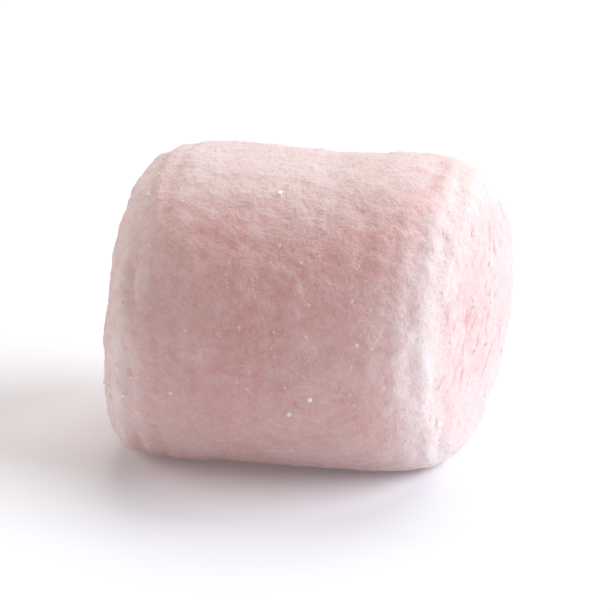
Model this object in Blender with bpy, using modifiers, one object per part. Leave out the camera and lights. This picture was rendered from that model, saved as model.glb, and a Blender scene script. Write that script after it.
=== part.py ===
"""A pink marshmallow lying on its side, as one soft solid.

Metres, +Z up. A marshmallow is a length cut from a soft round rope, so X runs
along the rope, the two cut ends face -X and +X, and the round side rests on
the floor. The origin is in the floor, under the middle of its bounding box.

The form starts as a cube whose faces are cut into a grid. Each corner of the
grid is moved on to a round bar with soft rims, and the bar is then domed,
creased, squashed, leaned, dented and pressed flat underneath. A Subdivision
Surface smooths the result.
"""

from math import exp, hypot, sin, sqrt

import bmesh
import bpy
from mathutils import Vector

NAME = "marshmallow"
MM = 0.001

# Driving dimensions
LENGTH = 32.0 * MM          # from cut to cut, where the rims round over
WIDTH = 28.8 * MM           # across the bar at its ends, front to back
HEIGHT = 29.8 * MM          # across the bar, up and down, before it settles

# Rounded rims of the two cut ends, at the free crown and at the loaded foot
LEFT_CROWN_RIM = 7.6 * MM
LEFT_FOOT_RIM = 3.6 * MM
RIGHT_CROWN_RIM = 6.9 * MM
RIGHT_FOOT_RIM = 3.9 * MM

FRONT_CRISPNESS = 0.2       # share by which the right rim is tighter at the front

# Cut ends: how far their middles stand out, and the slant of the cuts, as the x gained
# with each unit of height and, on the right, with each unit of depth
LEFT_DOME = 0.7 * MM
RIGHT_DOME = 2.2 * MM
LEFT_LEAN = 0.02
RIGHT_LEAN = 0.055
RIGHT_SLANT = 0.15

# Crease that the cutter pinches into each end, as shares of the bar's radius
CREASE_RING = 0.57
CREASE_REACH = 0.11
CREASE_DEPTH = 0.55 * MM

# Side: half way along it sinks in a little on top and stands out at front and back, where
# the piece has squashed under its own weight, and it is wider low down than at the crown
WAIST = 0.35 * MM
BULGE = 1.8 * MM
BELLY = 0.03

# Foot: the depth that is pressed flat, and the run-out where the side leaves the floor
PRESSED = 1.8 * MM
RUN_OUT = 0.7 * MM

# Dents from the pieces packed around it: direction from the middle, reach and depth
DENTS = (
    (Vector((0.2, 0.3, 1.0)), 9.0 * MM, 0.60 * MM),
    (Vector((-0.8, -0.7, 0.3)), 3.5 * MM, 0.40 * MM),
    (Vector((0.4, 1.0, 0.1)), 8.0 * MM, 0.80 * MM),
    (Vector((-0.9, 0.6, -0.2)), 6.0 * MM, 0.60 * MM),
)

# Cage: squares along each edge of the cube, and how far they crowd towards its edges
GRID = 12
CROWDING = 1.0

HALF_LENGTH = LENGTH / 2
RADIUS = (WIDTH + HEIGHT) / 4


def blend(low, high, share):
    return low + (high - low) * share


def crowd(step):
    """Move grid lines towards the edges of the cube, where the rims need them."""
    return sin(step * CROWDING) / sin(CROWDING)


def rim_radius(side, depth, height):
    """Radius of a rim; depth runs from -1 at the front, height from -1 at the foot."""
    share = (1 + height) / 2
    if side > 0:
        crisp = FRONT_CRISPNESS * max(-depth, 0)
        return blend(RIGHT_FOOT_RIM, RIGHT_CROWN_RIM, share) * (1 - crisp)
    return blend(LEFT_FOOT_RIM, LEFT_CROWN_RIM, share)


def round_bar(corner):
    """Move a corner of the cube's grid on to a round bar with rounded rims."""
    along, across, up = (crowd(step) for step in corner)
    y = across * sqrt(1 - up * up / 2)
    z = up * sqrt(1 - across * across / 2)
    out = hypot(y, z)
    if out == 0:
        return Vector((along * HALF_LENGTH, 0, 0))
    x = abs(along) * HALF_LENGTH
    r = out * RADIUS
    rim = rim_radius(along, y / out, z / out)
    past_side = x - (HALF_LENGTH - rim)
    past_end = r - (RADIUS - rim)
    if past_side > 0 and past_end > 0:
        shrink = rim / hypot(past_side, past_end)
        x = HALF_LENGTH - rim + past_side * shrink
        r = RADIUS - rim + past_end * shrink
    return Vector((x if along > 0 else -x, y / out * r, z / out * r))


def swell(point):
    """Dome and crease the cut ends, then squash the side and fill out its lower half."""
    x, y, z = point
    out = hypot(y, z) / RADIUS
    dome = RIGHT_DOME if x > 0 else LEFT_DOME
    crease = CREASE_DEPTH * exp(-((out - CREASE_RING) / CREASE_REACH) ** 2)
    end = x / HALF_LENGTH
    inside = 1 - end * end
    full = 1 - BELLY * z / RADIUS
    return Vector((
        x + end * (dome * (1 - out * out) - crease),
        y * full * (WIDTH / 2 + BULGE * inside) / RADIUS,
        z * (HEIGHT / 2 - WAIST * inside) / RADIUS,
    ))


def lean(point):
    """Tip both cuts the same way, the right one further and also towards the front."""
    share = (1 + point.x / HALF_LENGTH) / 2
    tip = blend(LEFT_LEAN, RIGHT_LEAN, share) * point.z
    turn = blend(0, RIGHT_SLANT, share) * point.y
    return point + Vector((tip + turn, 0, 0))


def dent(point):
    """Push the surface towards the middle around each dent."""
    inward = -point.normalized()
    moved = point.copy()
    for direction, reach, depth in DENTS:
        distance = (point - direction.normalized() * RADIUS).length
        moved += inward * depth * exp(-(distance / reach) ** 2)
    return moved


def press(point):
    """Flatten the foot on the floor, with a soft run-out beside the flat."""
    height = point.z + HEIGHT / 2 - PRESSED
    if height < -RUN_OUT:
        height = 0
    elif height < RUN_OUT:
        height = (height + RUN_OUT) ** 2 / (4 * RUN_OUT)
    return Vector((point.x, point.y, height))


def make_cage():
    """A cube cut into a grid, with every corner moved on to the marshmallow."""
    cage = bmesh.new()
    bmesh.ops.create_cube(cage, size=2)
    bmesh.ops.subdivide_edges(cage, edges=cage.edges[:], cuts=GRID - 1, use_grid_fill=True)
    for corner in cage.verts:
        corner.co = press(dent(lean(swell(round_bar(corner.co)))))
    mesh = bpy.data.meshes.new(NAME)
    cage.to_mesh(mesh)
    cage.free()
    return mesh


def make_material():
    """Whipped sugar and gelatine, tinted pink and dusted with starch."""
    material = bpy.data.materials.new("pink_marshmallow")
    material.use_nodes = True
    shader = material.node_tree.nodes["Principled BSDF"]
    shader.inputs["Base Color"].default_value = (0.83, 0.52, 0.51, 1)
    shader.inputs["Roughness"].default_value = 0.9
    shader.inputs["Metallic"].default_value = 0
    return material


def centre_on_floor(body):
    """Shift the cage so that the smoothed form stands on the floor over the origin."""
    view = bpy.context.evaluated_depsgraph_get()
    points = [vertex.co for vertex in body.evaluated_get(view).data.vertices]
    low = [min(point[axis] for point in points) for axis in range(3)]
    high = [max(point[axis] for point in points) for axis in range(3)]
    shift = Vector(((low[0] + high[0]) / 2, (low[1] + high[1]) / 2, low[2]))
    for vertex in body.data.vertices:
        vertex.co -= shift


def main():
    for old in list(bpy.data.objects):
        bpy.data.objects.remove(old, do_unlink=True)
    collection = bpy.data.collections.new("marshmallow_piece")
    bpy.context.scene.collection.children.link(collection)
    body = bpy.data.objects.new(NAME, make_cage())
    body.data.materials.append(make_material())
    body.data.shade_smooth()
    collection.objects.link(body)
    smooth = body.modifiers.new("Smooth", "SUBSURF")
    smooth.levels = 1
    smooth.render_levels = 1
    centre_on_floor(body)


main()
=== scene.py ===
"""A pink marshmallow dusted with starch, lying on its side on a white studio floor.

The piece is built in the order in which it is made: the whipped foam body with its
two cut ends, the starch that cakes on it, the loose grains and the sugar crystals.
"""

from math import cos, exp, pi, radians, sin
import random

import bmesh
import bpy
import numpy as np
from mathutils import Matrix, Vector, noise


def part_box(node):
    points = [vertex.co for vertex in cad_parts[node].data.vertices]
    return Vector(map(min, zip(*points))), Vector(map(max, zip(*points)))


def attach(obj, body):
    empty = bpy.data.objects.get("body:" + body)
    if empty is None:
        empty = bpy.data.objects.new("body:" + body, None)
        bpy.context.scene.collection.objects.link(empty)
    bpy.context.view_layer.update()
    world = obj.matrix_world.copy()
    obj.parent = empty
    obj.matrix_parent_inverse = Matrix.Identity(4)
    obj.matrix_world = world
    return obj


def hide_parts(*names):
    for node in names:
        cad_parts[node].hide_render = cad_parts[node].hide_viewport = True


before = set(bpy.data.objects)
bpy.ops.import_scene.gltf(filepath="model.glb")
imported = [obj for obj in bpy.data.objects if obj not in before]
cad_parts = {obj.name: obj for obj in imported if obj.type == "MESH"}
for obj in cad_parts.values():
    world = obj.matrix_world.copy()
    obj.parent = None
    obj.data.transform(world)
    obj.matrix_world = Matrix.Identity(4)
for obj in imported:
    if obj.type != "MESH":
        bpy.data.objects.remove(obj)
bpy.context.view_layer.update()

# --- Foam body -----------------------------------------------------------------
# Syrup and gelatine whipped to a pink foam, pressed out as a soft rope, rolled in
# starch and cut to length. Handling leaves shallow lumps and ring wrinkles beside
# the rims, and the blade leaves short torn streaks in both cut ends.

MM = 0.001

# How the loose triangles of the solid are merged and paired back into squares, by the
# greatest bend and skew of a square, and how often the squares are cut
MERGE_DISTANCE = 0.001 * MM
SQUARE_BEND = radians(40)
SQUARE_SKEW = radians(50)
SUBDIVISIONS = 2

FOOT_FADE = 1.6 * MM            # relief dies out above the flat foot over this height

# Relief of the skin, as the size of its features, their height, octaves and seed
RELIEF = (
    (5.0 * MM, 0.19 * MM, 2, 3),        # lumps from handling
    (1.5 * MM, 0.15 * MM, 3, 7),        # puckered skin
    (0.7 * MM, 0.055 * MM, 2, 19),      # pores
)

# Ring wrinkles beside each rim: spacing and height, where the band lies and how wide
# it is, how far the rings sway, and the size of the stretches in which they break off
WRINKLE_SPACING = 2.3 * MM
WRINKLE_HEIGHT = 0.32 * MM
WRINKLE_FROM_RIM = 4.2 * MM
WRINKLE_REACH = 3.0 * MM
WRINKLE_SWAY = 1.6
WRINKLE_SWAY_SIZE = 5 * MM
WRINKLE_BREAK_SIZE = 4 * MM
WRINKLE_STEADY = 0.4            # share of the height that does not break off

# Torn streaks in the cut ends: all run nearly the same way, bend a little and come in
# groups. They show where stretched noise rises over a threshold.
STREAK_FIELD = 0.78             # share of the bar's radius that has them
STREAK_FIELD_EDGE = 0.15
STREAK_TURN = radians(66)
STREAK_LENGTH = 2.6 * MM
STREAK_WIDTH = 0.5 * MM
STREAK_BEND = 0.5 * MM
STREAK_BEND_SIZE = 3 * MM
STREAK_GROUP_SIZE = 4.5 * MM
STREAK_GROUPING = 0.45
STREAK_THRESHOLD = 0.30
STREAK_SOFTNESS = 0.5
STREAK_DEPTH = 0.24 * MM
STREAK_ENDS_APART = 5           # so that the two ends are not torn alike
STREAKS_FROM, STREAKS_FULL = 0.75, 0.95     # how far to the side the skin faces there

# Starch: the blade wipes some of it off the cut ends. The rims and the top are whiter,
# partly from thicker starch and partly as painted highlight where the lamps strike them.
# Each is placed by how far the skin faces to the side or up.
END_BARENESS = 0.15
WIPED_FROM, WIPED_FULL = 0.84, 0.98
RIM_STEEPNESS = 0.7
RIM_SPREAD = 0.48
TOP_STARCH_AND_HIGHLIGHT = 0.85
TOP_STARCH_AND_HIGHLIGHT_FROM = 0.7

# Broken bubbles: shallow round pits with a slightly raised lip, as shares of the radius
BUBBLES = 90
BUBBLE_RADIUS = (0.28 * MM, 0.60 * MM)
BUBBLE_DEPTH = 0.16
BUBBLE_LIP = 0.07
BUBBLE_LIP_OUT = 1.3
BUBBLE_LIP_WIDTH = 0.4
BUBBLE_SEED = 5

low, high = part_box("marshmallow")
middle = (low + high) / 2
bar_radius = (high.y - low.y) / 2


def smooth_copy(node):
    """A merged copy of a CAD solid, paired back into squares and subdivided."""
    shape = bmesh.new()
    shape.from_mesh(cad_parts[node].data)
    bmesh.ops.remove_doubles(shape, verts=shape.verts, dist=MERGE_DISTANCE)
    bmesh.ops.join_triangles(
        shape,
        faces=shape.faces,
        angle_face_threshold=SQUARE_BEND,
        angle_shape_threshold=SQUARE_SKEW,
    )
    cage_mesh = bpy.data.meshes.new("cage")
    shape.to_mesh(cage_mesh)
    shape.free()
    cage = bpy.data.objects.new("cage", cage_mesh)
    bpy.context.scene.collection.objects.link(cage)
    surface = cage.modifiers.new("Smooth", "SUBSURF")
    surface.levels = SUBDIVISIONS
    surface.render_levels = SUBDIVISIONS
    view = bpy.context.evaluated_depsgraph_get()
    mesh = bpy.data.meshes.new_from_object(cage.evaluated_get(view))
    bpy.data.objects.remove(cage)
    bpy.data.meshes.remove(cage_mesh)
    return mesh


def refine_ends(mesh):
    """Cut the squares of both cut ends once more, where the finest relief lies."""
    shape = bmesh.new()
    shape.from_mesh(mesh)
    ends = [
        edge for edge in shape.edges
        if all(
            abs(vertex.normal.x) > STREAKS_FROM
            and (vertex.co - middle).yz.length < STREAK_FIELD * bar_radius
            for vertex in edge.verts
        )
    ]
    bmesh.ops.subdivide_edges(shape, edges=ends, cuts=1, use_grid_fill=True, smooth=0.5)
    shape.to_mesh(mesh)
    shape.free()


def rough(place, size, octaves, seed):
    """Smooth noise from about -1 to 1, with features of one size."""
    return noise.fractal(place / size + Vector((seed, 0, 0)), 1.0, 2.0, octaves)


def skin_relief(place):
    """Height of the skin above the smooth form, in metres."""
    from_rim = min(place.x - low.x, high.x - place.x)
    near_rim = exp(-((from_rim - WRINKLE_FROM_RIM) / WRINKLE_REACH) ** 2)
    sway = WRINKLE_SWAY * rough(place, WRINKLE_SWAY_SIZE, octaves=2, seed=11)
    rings = sin(2 * pi * from_rim / WRINKLE_SPACING + sway)
    broken = rough(place, WRINKLE_BREAK_SIZE, octaves=1, seed=5)
    height = WRINKLE_HEIGHT * near_rim * rings * (WRINKLE_STEADY + (1 - WRINKLE_STEADY) * broken)
    for size, rise, octaves, seed in RELIEF:
        height += rise * rough(place, size, octaves, seed)
    return height


def torn_streaks(place):
    """How far the blade has torn the foam open at a place of a cut end, from 0 to 1."""
    side = 1 if place.x > middle.x else -1
    turn = STREAK_TURN * side
    spot = place - middle
    along = spot.y * cos(turn) + spot.z * sin(turn)
    across = spot.z * cos(turn) - spot.y * sin(turn)
    across += STREAK_BEND * rough(place, STREAK_BEND_SIZE, octaves=1, seed=31)
    lane = Vector((along / STREAK_LENGTH, across / STREAK_WIDTH, STREAK_ENDS_APART * side))
    group = STREAK_GROUPING * rough(place, STREAK_GROUP_SIZE, octaves=1, seed=37)
    torn = (noise.fractal(lane, 1.0, 2.0, 2) + group - STREAK_THRESHOLD) / STREAK_SOFTNESS
    inside = (STREAK_FIELD - spot.yz.length / bar_radius) / STREAK_FIELD_EDGE
    return min(max(torn, 0), 1) * min(max(inside, 0), 1)


def broken_bubbles(places, chance):
    """Height of the pits left by bubbles that broke at the skin, in metres."""
    height = np.zeros(len(places))
    for _ in range(BUBBLES):
        radius = chance.uniform(*BUBBLE_RADIUS)
        centre = places[chance.randrange(len(places))]
        away = np.linalg.norm(places - centre, axis=1) / radius
        height -= BUBBLE_DEPTH * radius * np.exp(-away ** 4)
        height += BUBBLE_LIP * radius * np.exp(-((away - BUBBLE_LIP_OUT) / BUBBLE_LIP_WIDTH) ** 2)
    return height


foam_mesh = smooth_copy("marshmallow")
refine_ends(foam_mesh)
foam_mesh.name = "foam_body"
foam_mesh.shade_smooth()
places = np.empty(len(foam_mesh.vertices) * 3, np.float32)
normals = np.empty(len(foam_mesh.vertices) * 3, np.float32)
foam_mesh.vertices.foreach_get("co", places)
foam_mesh.vertices.foreach_get("normal", normals)
places = places.reshape(-1, 3)
normals = normals.reshape(-1, 3)

sideways = np.abs(normals[:, 0])
facing_end = np.interp(sideways, (STREAKS_FROM, STREAKS_FULL), (0, 1))
torn = facing_end * np.array([
    torn_streaks(Vector(place)) if end > 0 else 0
    for place, end in zip(places, facing_end)
])
height = np.array([skin_relief(Vector(place)) for place in places])
height += broken_bubbles(places, random.Random(BUBBLE_SEED))
height -= STREAK_DEPTH * torn
height *= np.clip((places[:, 2] - low.z) / FOOT_FADE, 0, 1)
places += normals * height[:, None]
foam_mesh.vertices.foreach_set("co", places.ravel())
foam_mesh.update()

wiped = END_BARENESS * np.interp(sideways, (WIPED_FROM, WIPED_FULL), (0, 1))
bare = foam_mesh.attributes.new("bare", "FLOAT", "POINT")
bare.data.foreach_set("value", np.clip(wiped + torn, 0, 1))
# Whiter rims and top: partly thick starch, partly painted highlight where the lamps strike
rim_starch_and_highlight = np.exp(-((sideways - RIM_STEEPNESS) / RIM_SPREAD) ** 2)
top_starch_and_highlight = TOP_STARCH_AND_HIGHLIGHT * np.interp(normals[:, 2], (TOP_STARCH_AND_HIGHLIGHT_FROM, 1), (0, 1))
starch_and_painted_highlight = foam_mesh.attributes.new("starch_and_painted_highlight", "FLOAT", "POINT")
starch_and_painted_highlight.data.foreach_set("value", np.maximum(rim_starch_and_highlight, top_starch_and_highlight))

# Colours of the bare foam, of foam torn open, of thin starch over foam, and of thick
# starch whose white on the rims and top is partly painted highlight
FOAM_PINK = "#DC9A92"
TORN_PINK = "#E6B0B1"
THIN_STARCH = "#EBC9C4"
STARCH_AND_HIGHLIGHT_WHITE = "#F4E8E7"

# Dusting: size of its patches and clouds, and shares covered where it is thin, or thick
# with painted highlight
PATCH_SIZE = 0.9 * MM
CLOUD_SIZE = 7 * MM
CLOUD_DRIFT = 0.07
THIN_COVER = (0.2, 0.95)
STARCH_AND_HIGHLIGHT_COVER = (0.55, 1.0)
NOISE_LOW, NOISE_HIGH = 0.3, 0.7        # most of a noise texture lies between these

# Finest foam cells: really about 0.1 mm, drawn coarser so that they show
CELL_SIZE = 0.55 * MM
CELL_RELIEF = 0.38 * MM
LIGHT_REACH = 6 * MM                    # how far red light travels in the foam


def linear(hex_code):
    """An sRGB hex colour as linear red, green, blue and alpha."""
    colour = []
    for start in (1, 3, 5):
        share = int(hex_code[start:start + 2], 16) / 255
        if share > 0.04045:
            colour.append(((share + 0.055) / 1.055) ** 2.4)
        else:
            colour.append(share / 12.92)
    return colour + [1]


def add(tree, kind, settings, links):
    """Add a shader node, with values for its properties and sockets, and links into it."""
    node = tree.nodes.new(kind)
    for name, value in settings.items():
        if isinstance(name, str) and hasattr(node, name):
            setattr(node, name, value)
        else:
            node.inputs[name].default_value = value
    for name, socket in links.items():
        tree.links.new(socket, node.inputs[name])
    return node


def whipped_foam():
    """Sugar and gelatine foam: fully matt, light sinks in and comes out redder, and the
    starch on it hides the pink in fine patches. The whiter coat on the rims and top is
    partly thick starch and partly painted highlight."""
    material = bpy.data.materials.new("starch_dusted_marshmallow")
    material.use_nodes = True
    tree = material.node_tree
    shader = tree.nodes["Principled BSDF"]
    place = add(tree, "ShaderNodeTexCoord", {}, {}).outputs["Object"]
    patches = add(
        tree,
        "ShaderNodeTexNoise",
        {"Scale": 1 / PATCH_SIZE, "Detail": 6.0, "Roughness": 0.8},
        {"Vector": place},
    )
    clouds = add(
        tree,
        "ShaderNodeTexNoise",
        {"Scale": 1 / CLOUD_SIZE, "Detail": 2.0},
        {"Vector": place},
    )
    drift = add(
        tree,
        "ShaderNodeMapRange",
        {"From Min": NOISE_LOW, "From Max": NOISE_HIGH, "To Min": -CLOUD_DRIFT, "To Max": CLOUD_DRIFT},
        {"Value": clouds.outputs["Fac"]},
    )
    dusting = add(
        tree,
        "ShaderNodeMath",
        {"operation": "ADD"},
        {0: patches.outputs["Fac"], 1: drift.outputs["Result"]},
    )
    thin_cover, starch_and_highlight_cover = (
        add(
            tree,
            "ShaderNodeMapRange",
            {"From Min": NOISE_LOW, "From Max": NOISE_HIGH, "To Min": least, "To Max": most},
            {"Value": dusting.outputs["Value"]},
        )
        for least, most in (THIN_COVER, STARCH_AND_HIGHLIGHT_COVER)
    )
    # Where thick starch and painted highlight whiten the rims and top
    starch_and_highlight_share = add(tree, "ShaderNodeAttribute", {"attribute_name": "starch_and_painted_highlight"}, {})
    caked = add(
        tree,
        "ShaderNodeMath",
        {"operation": "MULTIPLY"},
        {0: starch_and_highlight_share.outputs["Fac"], 1: starch_and_highlight_cover.outputs["Result"]},
    )
    bareness = add(tree, "ShaderNodeAttribute", {"attribute_name": "bare"}, {})
    dusted = add(
        tree,
        "ShaderNodeMix",
        {"data_type": "RGBA", 6: linear(FOAM_PINK), 7: linear(THIN_STARCH)},
        {0: thin_cover.outputs["Result"]},
    )
    # Thick starch and painted highlight whiten the rims and top
    starched_and_highlighted = add(
        tree,
        "ShaderNodeMix",
        {"data_type": "RGBA", 7: linear(STARCH_AND_HIGHLIGHT_WHITE)},
        {0: caked.outputs["Value"], 6: dusted.outputs[2]},
    )
    colour = add(
        tree,
        "ShaderNodeMix",
        {"data_type": "RGBA", 7: linear(TORN_PINK)},
        {0: bareness.outputs["Fac"], 6: starched_and_highlighted.outputs[2]},
    )
    tree.links.new(colour.outputs[2], shader.inputs["Base Color"])
    cells = add(
        tree,
        "ShaderNodeTexNoise",
        {"Scale": 1 / CELL_SIZE, "Detail": 3.0, "Roughness": 0.65},
        {"Vector": place},
    )
    bump = add(
        tree,
        "ShaderNodeBump",
        {"Strength": 1.0, "Distance": CELL_RELIEF},
        {"Height": cells.outputs["Fac"]},
    )
    tree.links.new(bump.outputs["Normal"], shader.inputs["Normal"])
    shader.inputs["Roughness"].default_value = 0.9
    shader.inputs["Subsurface Weight"].default_value = 0.7
    shader.inputs["Subsurface Radius"].default_value = (1.0, 0.7, 0.65)
    shader.inputs["Subsurface Scale"].default_value = LIGHT_REACH
    shader.inputs["Sheen Weight"].default_value = 0.3
    shader.inputs["Sheen Roughness"].default_value = 0.5
    return material


foam = bpy.data.objects.new("foam_body", foam_mesh)
foam_mesh.materials.append(whipped_foam())
bpy.context.scene.collection.objects.link(foam)
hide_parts("marshmallow")
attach(foam, "root")

# --- Starch flakes ---------------------------------------------------------------
# Cornflour from the tumbling drum that took up a little moisture and caked on the
# skin, as low crumbly mounds with ragged edges.

FLAKES = 900
FLAKE_WIDTH = (0.16 * MM, 0.42 * MM)
FLAKE_FLATNESS = 0.15           # height as a share of the width
FLAKE_SUNK = 0.3                # share of the height that is pressed into the foam

CAKED_WHITE = "#EBCFCD"
LOOSE_WHITE = "#F6E2E0"
CAKED_SIZE = 1.2 * MM           # patches in which the starch is a shade darker

CLUMP_SIZE = 5 * MM             # loose starch lies thicker in clouds of this size
CLUMPING = 0.45
CLEAR_FOOT = 0.6 * MM           # nothing lies lower than this, where the foam is pressed
UNEVEN = (0.75, 1.25)           # each copy's length and width, as shares of its size


def arrays(shape):
    """The corners and faces of a small shape, which is freed."""
    shape.verts.index_update()
    corners = np.array([vertex.co for vertex in shape.verts])
    faces = np.array([[vertex.index for vertex in face.verts] for face in shape.faces])
    shape.free()
    return corners, faces


def landing_places(mesh, number, seed):
    """Places and normals spread evenly over a mesh, but thicker where starch clouds lie."""
    mesh.calc_loop_triangles()
    rng = np.random.default_rng(seed)
    corners = np.empty(len(mesh.vertices) * 3, np.float32)
    mesh.vertices.foreach_get("co", corners)
    triangles = np.empty(len(mesh.loop_triangles) * 3, np.int32)
    mesh.loop_triangles.foreach_get("vertices", triangles)
    sides = corners.reshape(-1, 3)[triangles.reshape(-1, 3)]
    cross = np.cross(sides[:, 1] - sides[:, 0], sides[:, 2] - sides[:, 0])
    area = np.linalg.norm(cross, axis=1)
    places, ups = [], []
    while len(places) < number:
        pick = rng.choice(len(area), number, p=area / area.sum())
        one, two = rng.random((2, number))
        over = one + two > 1
        one[over], two[over] = 1 - one[over], 1 - two[over]
        spots = sides[pick, 0] + (sides[pick, 1] - sides[pick, 0]) * one[:, None]
        spots += (sides[pick, 2] - sides[pick, 0]) * two[:, None]
        for spot, up, luck in zip(spots, cross[pick] / area[pick, None], rng.random(number)):
            cloud = rough(Vector(spot), CLUMP_SIZE, octaves=2, seed=23)
            share = 1 - CLUMPING + CLUMPING * cloud
            if luck < share and spot[2] > low.z + CLEAR_FOOT:
                places.append(spot)
                ups.append(up)
    return np.array(places[:number]), np.array(ups[:number])


def scatter(name, template, mesh, number, sizes, flatness, sunk, seed):
    """One mesh of many turned and stretched copies of a small shape, lying on a mesh."""
    corners, faces = template
    places, ups = landing_places(mesh, number, seed)
    rng = np.random.default_rng(seed + 1)
    # Squared, so that small ones are the most common
    size = sizes[0] + (sizes[1] - sizes[0]) * rng.random(number) ** 2
    turn = rng.uniform(0, 2 * pi, number)
    # Any direction well away from the normal gives a first direction along the skin
    helper = np.where(np.abs(ups[:, :1]) < 0.9, [[1, 0, 0]], [[0, 1, 0]])
    side = np.cross(ups, helper)
    side /= np.linalg.norm(side, axis=1)[:, None]
    front = np.cross(ups, side)
    first = side * np.cos(turn)[:, None] + front * np.sin(turn)[:, None]
    second = np.cross(ups, first)
    stretch = rng.uniform(*UNEVEN, (number, 2))
    shape = (
        corners[None, :, 0, None] * (first * (size * stretch[:, 0])[:, None])[:, None]
        + corners[None, :, 1, None] * (second * (size * stretch[:, 1])[:, None])[:, None]
        + (corners[None, :, 2, None] + 0.5 - sunk) * (ups * (size * flatness)[:, None])[:, None]
        + places[:, None]
    )
    joined = faces[None] + len(corners) * np.arange(number)[:, None, None]
    result = bpy.data.meshes.new(name)
    result.from_pydata(shape.reshape(-1, 3), [], joined.reshape(-1, faces.shape[1]))
    result.update()
    return result


def starch():
    """Dry maize starch: chalk white, dead matt, a shade darker where it caked damp."""
    material = bpy.data.materials.new("maize_starch")
    material.use_nodes = True
    tree = material.node_tree
    shader = tree.nodes["Principled BSDF"]
    place = add(tree, "ShaderNodeTexCoord", {}, {}).outputs["Object"]
    caked = add(
        tree,
        "ShaderNodeTexNoise",
        {"Scale": 1 / CAKED_SIZE, "Detail": 2.0},
        {"Vector": place},
    )
    colour = add(
        tree,
        "ShaderNodeMix",
        {"data_type": "RGBA", 6: linear(CAKED_WHITE), 7: linear(LOOSE_WHITE)},
        {0: caked.outputs["Fac"]},
    )
    tree.links.new(colour.outputs[2], shader.inputs["Base Color"])
    shader.inputs["Roughness"].default_value = 0.95
    shader.inputs["Sheen Weight"].default_value = 0.2
    shader.inputs["Subsurface Weight"].default_value = 0.3
    shader.inputs["Subsurface Radius"].default_value = (1.0, 0.8, 0.8)
    shader.inputs["Subsurface Scale"].default_value = 0.3 * MM
    return material


starch_material = starch()
mound = bmesh.new()
bmesh.ops.create_cone(mound, cap_ends=True, segments=7, radius1=0.5, radius2=0.2, depth=1)
bmesh.ops.triangulate(mound, faces=mound.faces)
flakes_mesh = scatter(
    "starch_flakes",
    arrays(mound),
    foam_mesh,
    number=FLAKES,
    sizes=FLAKE_WIDTH,
    flatness=FLAKE_FLATNESS,
    sunk=FLAKE_SUNK,
    seed=31,
)
flakes_mesh.materials.append(starch_material)
flakes_mesh.shade_smooth()
flakes = bpy.data.objects.new("starch_flakes", flakes_mesh)
bpy.context.scene.collection.objects.link(flakes)
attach(flakes, "root")

# --- Starch grains ----------------------------------------------------------------
# The dry cornflour that stays loose after tumbling. Single grains are 0.01 to 0.02 mm,
# too fine to show, so each one here is a tiny cluster that catches the light.

GRAINS = 7000
GRAIN_WIDTH = (0.07 * MM, 0.18 * MM)
GRAIN_FLATNESS = 0.7
GRAIN_SUNK = 0.5

cluster = bmesh.new()
bmesh.ops.create_icosphere(cluster, subdivisions=1, radius=0.5)
grains_mesh = scatter(
    "starch_grains",
    arrays(cluster),
    foam_mesh,
    number=GRAINS,
    sizes=GRAIN_WIDTH,
    flatness=GRAIN_FLATNESS,
    sunk=GRAIN_SUNK,
    seed=47,
)
grains_mesh.materials.append(starch_material)
grains_mesh.shade_smooth()
grains = bpy.data.objects.new("starch_grains", grains_mesh)
bpy.context.scene.collection.objects.link(grains)
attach(grains, "root")

# --- Sugar crystals ---------------------------------------------------------------
# A few crystals of sugar that came with the starch: blunt blocks, cloudy white inside,
# that flash where a face meets the lamp.

CRYSTALS = 36
CRYSTAL_WIDTH = (0.20 * MM, 0.45 * MM)
CRYSTAL_FLATNESS = 0.8
CRYSTAL_SUNK = 0.4
CRYSTAL_WHITE = "#FFFDFB"
ETCHING_SIZE = 0.08 * MM
ETCHED_LEAST, ETCHED_MOST = 0.1, 0.35       # roughness of clear and of etched faces


def sugar():
    """Crystal sugar: hard and glossy, with faces faintly etched by damp air."""
    material = bpy.data.materials.new("crystal_sugar")
    material.use_nodes = True
    tree = material.node_tree
    shader = tree.nodes["Principled BSDF"]
    place = add(tree, "ShaderNodeTexCoord", {}, {}).outputs["Object"]
    etching = add(
        tree,
        "ShaderNodeTexNoise",
        {"Scale": 1 / ETCHING_SIZE, "Detail": 2.0},
        {"Vector": place},
    )
    frost = add(
        tree,
        "ShaderNodeMapRange",
        {"To Min": ETCHED_LEAST, "To Max": ETCHED_MOST},
        {"Value": etching.outputs["Fac"]},
    )
    tree.links.new(frost.outputs["Result"], shader.inputs["Roughness"])
    shader.inputs["Base Color"].default_value = linear(CRYSTAL_WHITE)
    shader.inputs["IOR"].default_value = 1.54
    shader.inputs["Subsurface Weight"].default_value = 0.6
    shader.inputs["Subsurface Radius"].default_value = (1.0, 1.0, 1.0)
    shader.inputs["Subsurface Scale"].default_value = 0.4 * MM
    return material


block = bmesh.new()
bmesh.ops.create_cube(block, size=0.9)
bmesh.ops.bevel(
    block,
    geom=block.edges[:],
    offset=0.12,
    segments=1,
    profile=0.5,
    affect="EDGES",
    material=-1,
)
bmesh.ops.triangulate(block, faces=block.faces)
crystals_mesh = scatter(
    "sugar_crystals",
    arrays(block),
    foam_mesh,
    number=CRYSTALS,
    sizes=CRYSTAL_WIDTH,
    flatness=CRYSTAL_FLATNESS,
    sunk=CRYSTAL_SUNK,
    seed=59,
)
crystals_mesh.materials.append(sugar())
crystals = bpy.data.objects.new("sugar_crystals", crystals_mesh)
bpy.context.scene.collection.objects.link(crystals)
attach(crystals, "root")

# --- Studio ---------------------------------------------------------------------
# A matt white paper floor that runs out of sight, a large soft lamp low on the right,
# a broad soft ceiling light behind and a warm reflector on the left.

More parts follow.
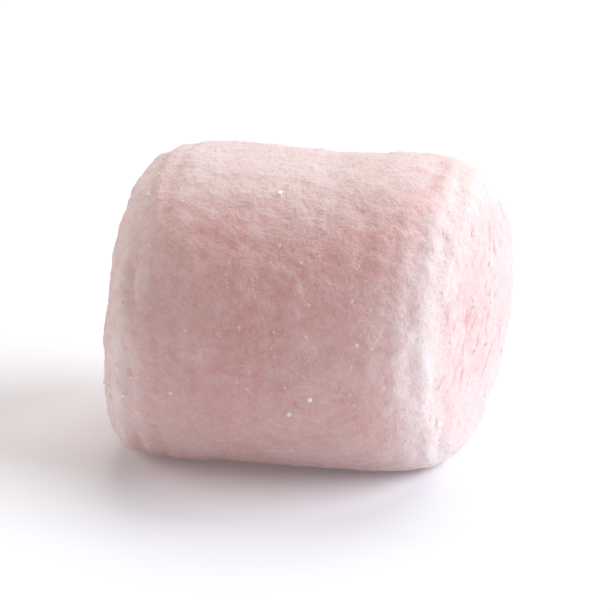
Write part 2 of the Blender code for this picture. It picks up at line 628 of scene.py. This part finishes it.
FLOOR_HALF = 1.5
FLOOR_DROP = 0.02 * MM          # keeps the paper clear of the flat foot
PAPER_WHITE = "#F2F5FA"
PAPER_GLOW = 0.09               # stands for the light of the rest of the white room
ROOM_TINT = "#FFE6D8"
ROOM_LIGHT = 0.02
BACKDROP_WHITE = "#FFFFFF"

# Lamps, as name, azimuth, elevation, spread, strength and tint; azimuth 0 is in front
# of the piece and 90 at its right end
LAMPS = (
    ("side_softbox", 92, 30, 54, 3.3, "#F5F8FF"),
    ("ceiling_softbox", 172, 52, 50, 1.8, "#FFF9F5"),
    ("left_reflector", -86, 20, 60, 1.4, "#FFEEE4"),
)

CAMERA_AZIMUTH = 10
CAMERA_ELEVATION = 21
CAMERA_DISTANCE = 0.40
SENSOR_WIDTH = 36               # in millimetres, as cameras give it
FRAME_WIDTH = 55.6 * MM         # width seen at the piece
AIM_OFFSET = Vector((-0.35 * MM, 0, -0.75 * MM))

floor_shape = bmesh.new()
bmesh.ops.create_grid(floor_shape, x_segments=1, y_segments=1, size=FLOOR_HALF)
floor_mesh = bpy.data.meshes.new("floor")
floor_shape.to_mesh(floor_mesh)
floor_shape.free()
floor_mesh.transform(Matrix.Translation((0, 0, low.z - FLOOR_DROP)))
paper = bpy.data.materials.new("white_paper")
paper.use_nodes = True
paper_shader = paper.node_tree.nodes["Principled BSDF"]
paper_shader.inputs["Base Color"].default_value = linear(PAPER_WHITE)
paper_shader.inputs["Roughness"].default_value = 0.95
paper_shader.inputs["Specular IOR Level"].default_value = 0.1
paper_shader.inputs["Emission Color"].default_value = linear(BACKDROP_WHITE)
paper_shader.inputs["Emission Strength"].default_value = PAPER_GLOW
floor_mesh.materials.append(paper)
floor = bpy.data.objects.new("floor", floor_mesh)
bpy.context.scene.collection.objects.link(floor)


def direction(azimuth, elevation):
    """Unit vector from the piece towards a lamp or the camera, from angles in degrees."""
    turn, rise = radians(azimuth), radians(elevation)
    return Vector((sin(turn) * cos(rise), -cos(turn) * cos(rise), sin(rise)))


for name, azimuth, elevation, spread, strength, tint in LAMPS:
    light = bpy.data.lights.new(name, "SUN")
    light.energy = strength
    light.angle = radians(spread)
    light.color = linear(tint)[:3]
    holder = bpy.data.objects.new(name, light)
    holder.rotation_mode = "QUATERNION"
    holder.rotation_quaternion = direction(azimuth, elevation).to_track_quat("Z", "Y")
    bpy.context.scene.collection.objects.link(holder)

world = bpy.data.worlds.new("white_studio")
world.use_nodes = True
sky = world.node_tree
sky.nodes.clear()
room = add(sky, "ShaderNodeBackground", {"Color": linear(ROOM_TINT), "Strength": ROOM_LIGHT}, {})
backdrop = add(sky, "ShaderNodeBackground", {"Color": linear(BACKDROP_WHITE)}, {})
seen = add(sky, "ShaderNodeLightPath", {}, {}).outputs["Is Camera Ray"]
both = add(sky, "ShaderNodeMixShader", {}, {0: seen, 1: room.outputs[0], 2: backdrop.outputs[0]})
add(sky, "ShaderNodeOutputWorld", {}, {"Surface": both.outputs[0]})
bpy.context.scene.world = world
bpy.context.scene.view_settings.view_transform = "Standard"

# The camera looks a little down on the front of the piece and sees a sliver of the
# right cut end.
lens_camera = bpy.data.cameras.new("camera")
lens_camera.sensor_width = SENSOR_WIDTH
lens_camera.lens = SENSOR_WIDTH * CAMERA_DISTANCE / FRAME_WIDTH
lens_camera.clip_start = 0.05
lens_camera.clip_end = 10
camera = bpy.data.objects.new("camera", lens_camera)
towards = direction(CAMERA_AZIMUTH, CAMERA_ELEVATION)
camera.rotation_mode = "QUATERNION"
camera.rotation_quaternion = towards.to_track_quat("Z", "Y")
camera.location = middle + AIM_OFFSET + towards * CAMERA_DISTANCE
bpy.context.scene.collection.objects.link(camera)
bpy.context.scene.camera = camera
